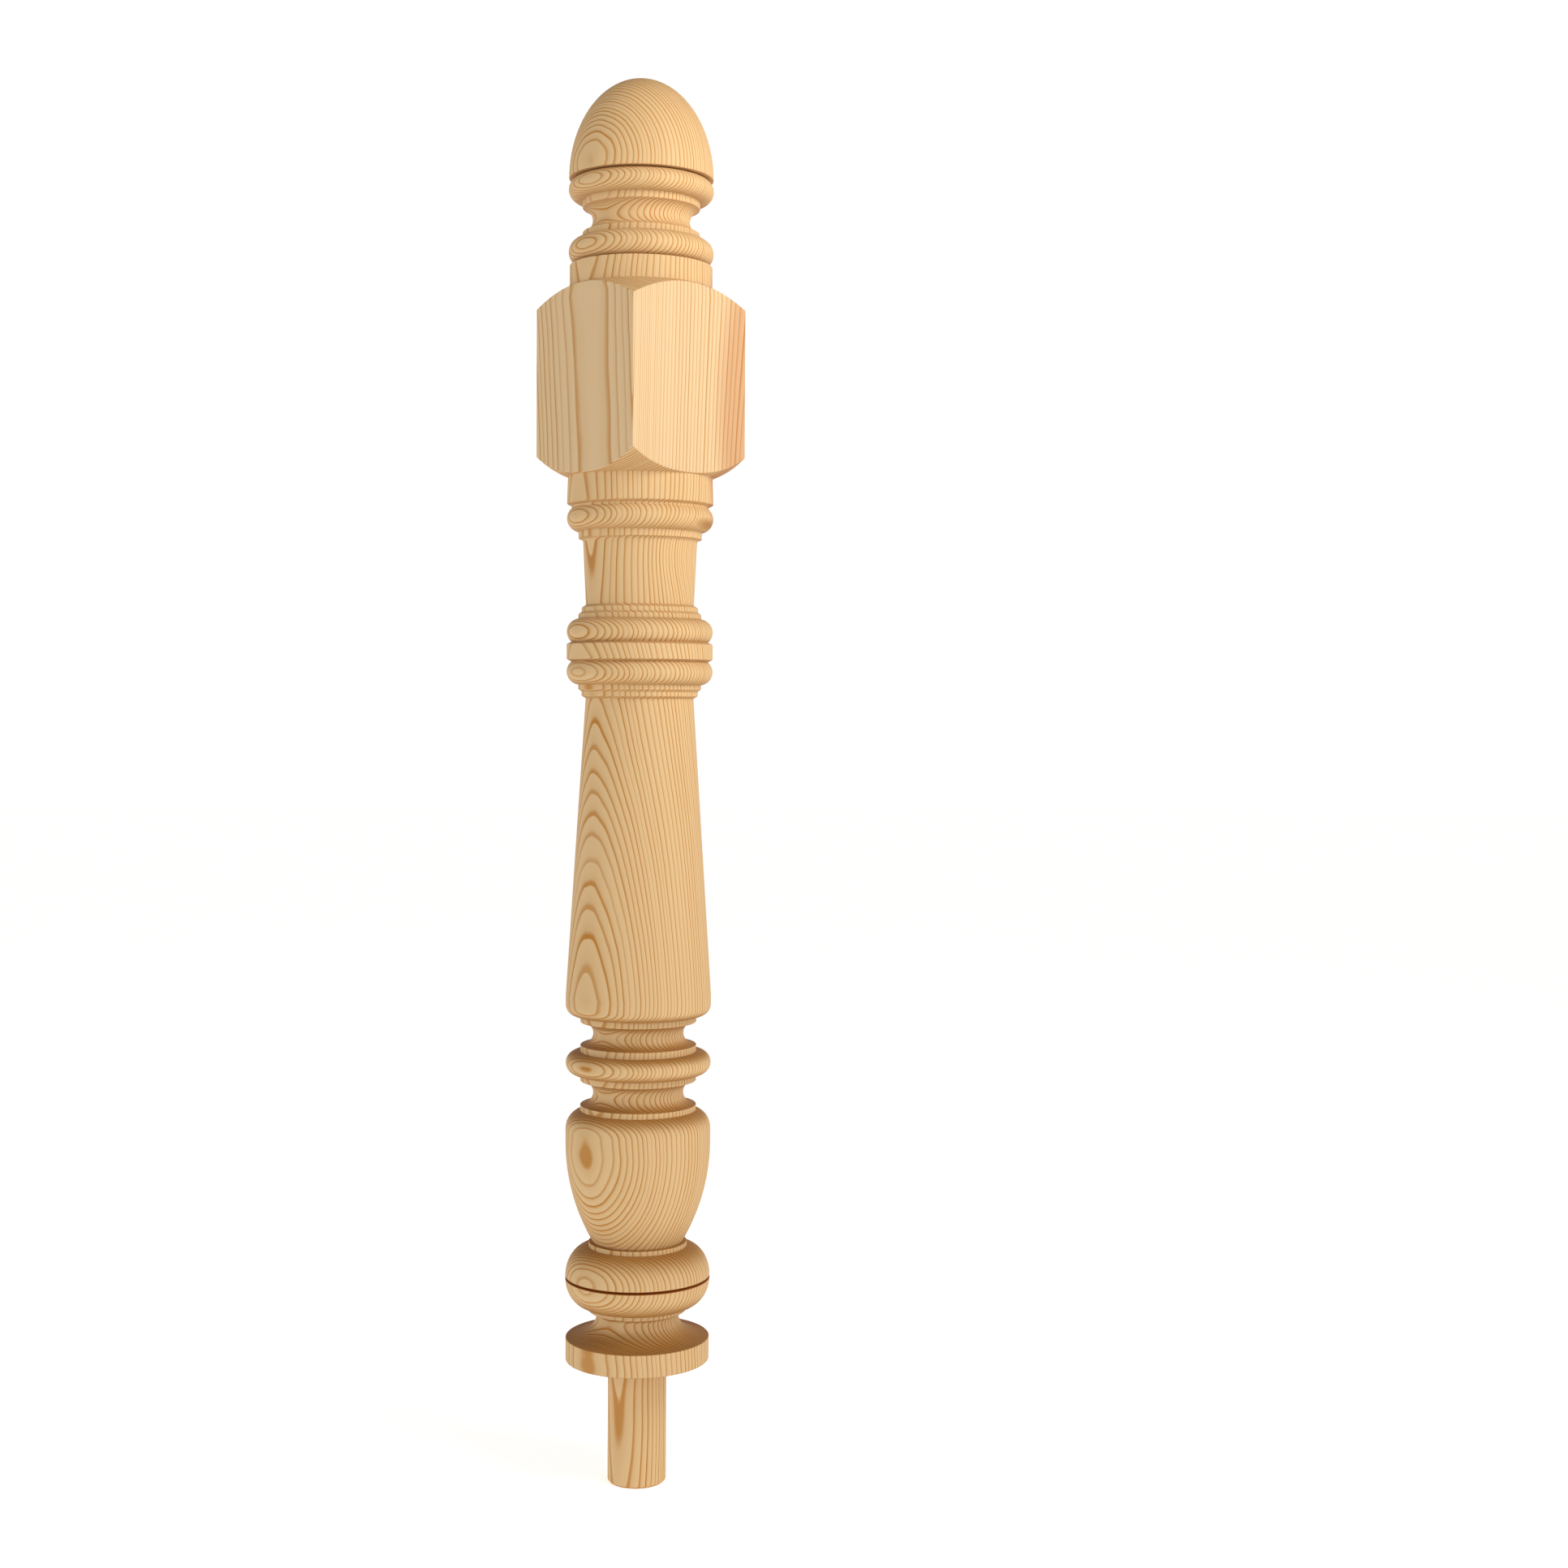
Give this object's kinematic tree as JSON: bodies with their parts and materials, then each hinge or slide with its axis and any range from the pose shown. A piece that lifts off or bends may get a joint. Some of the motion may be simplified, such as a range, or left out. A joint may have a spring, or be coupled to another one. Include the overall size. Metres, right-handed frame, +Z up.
{
  "type": "newel post",
  "caption": "Turned pine newel post with an acorn-like cap, a square block for the handrails, a tapered shaft, a vase, a swelled foot and a round spigot below.",
  "frame": {"origin": "centre of the flat shoulder round the spigot, where the post rests on the floor or string", "axes": "+Z up along the post's axis towards the cap; +X and +Y are normal to faces of the square block"},
  "size_m": [0.12, 0.12, 1.1411],
  "materials": {
    "pine": "bare sanded pine, unvarnished and matte, with growth rings that show as arches and ovals"
  },
  "bodies": {
    "root": {"newel_post": "pine"}
  },
  "joints": []
}
